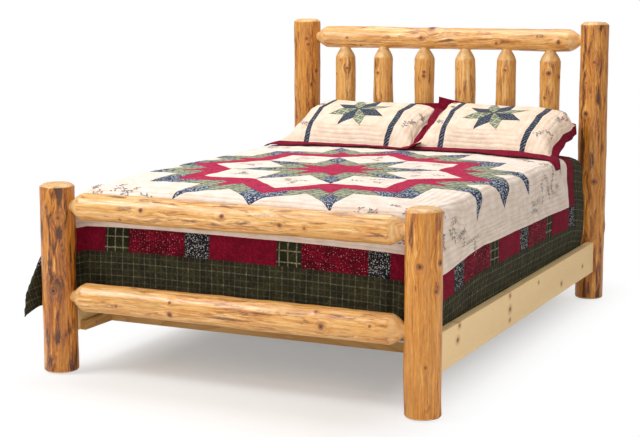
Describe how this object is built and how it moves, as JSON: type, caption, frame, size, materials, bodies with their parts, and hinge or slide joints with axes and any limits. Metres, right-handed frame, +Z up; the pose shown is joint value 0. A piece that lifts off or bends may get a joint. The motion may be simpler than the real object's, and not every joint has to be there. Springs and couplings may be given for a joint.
{
  "type": "rustic log bed",
  "caption": "Queen bed of peeled logs with a spindled headboard, a low footboard, pine side rails, made up with a pieced star quilt and matching pillow shams.",
  "frame": {"origin": "on the floor, midway between the four posts", "axes": "+Z up, +Y from the footboard to the headboard, +X towards the right-hand side seen from the foot"},
  "size_m": [1.6897, 2.3883, 1.361],
  "materials": {
    "post_log": "clear satin over peeled log",
    "rail_log": "clear satin over peeled log",
    "spindle_log": "clear satin over peeled log",
    "sawn_pine": "clear satin over sawn pine",
    "rough_pine": "bare sawn pine",
    "steel": "zinc plated",
    "glide": "moulded",
    "box_spring_fabric": "woven cover",
    "mattress_ticking": "quilted ticking",
    "quilt_cotton": "pieced and quilted cotton",
    "sham_cotton": "pieced and quilted cotton"
  },
  "bodies": {
    "bed_frame": {"centre_leg": "rough_pine", "cross_support_1": "rough_pine", "cross_support_2": "rough_pine", "cross_support_3": "rough_pine", "cross_support_4": "rough_pine", "cross_support_5": "rough_pine", "floor_glides": "glide", "foot_post_left": "post_log", "foot_post_right": "post_log", "foot_rail_lower": "rail_log", "foot_rail_upper": "rail_log", "head_post_left": "post_log", "head_post_right": "post_log", "head_rail_lower": "rail_log", "head_rail_upper": "rail_log", "head_spindle_1": "spindle_log", "head_spindle_2": "spindle_log", "head_spindle_3": "spindle_log", "head_spindle_4": "spindle_log", "head_spindle_5": "spindle_log", "head_spindle_6": "spindle_log", "ledger_left": "rough_pine", "ledger_right": "rough_pine", "leg_bolts": "steel", "post_slot_plates": "steel", "rail_hook_plates": "steel", "side_rail_left": "sawn_pine", "side_rail_right": "sawn_pine"},
    "foundation": {"box_spring_frame": "rough_pine", "box_spring_cover": "box_spring_fabric"},
    "bedding": {"mattress": "mattress_ticking", "quilt": "quilt_cotton"},
    "pillow_left": {"pillow_left": "sham_cotton"},
    "pillow_right": {"pillow_right": "sham_cotton"}
  },
  "joints": [
    {"name": "foundation_lift", "type": "slide", "parent": "bed_frame", "child": "foundation", "axis": [0, 0, 1], "range_m": [0, 0.55]},
    {"name": "mattress_lift", "type": "slide", "parent": "foundation", "child": "bedding", "axis": [0, 0, 1], "range_m": [0, 0.55]},
    {"name": "pillow_left_lift", "type": "slide", "parent": "bedding", "child": "pillow_left", "axis": [0, 0, 1], "range_m": [0, 0.4]},
    {"name": "pillow_right_lift", "type": "slide", "parent": "pillow_left", "child": "pillow_right", "axis": [0, 0, 1], "range_m": [0, 0.4]}
  ]
}
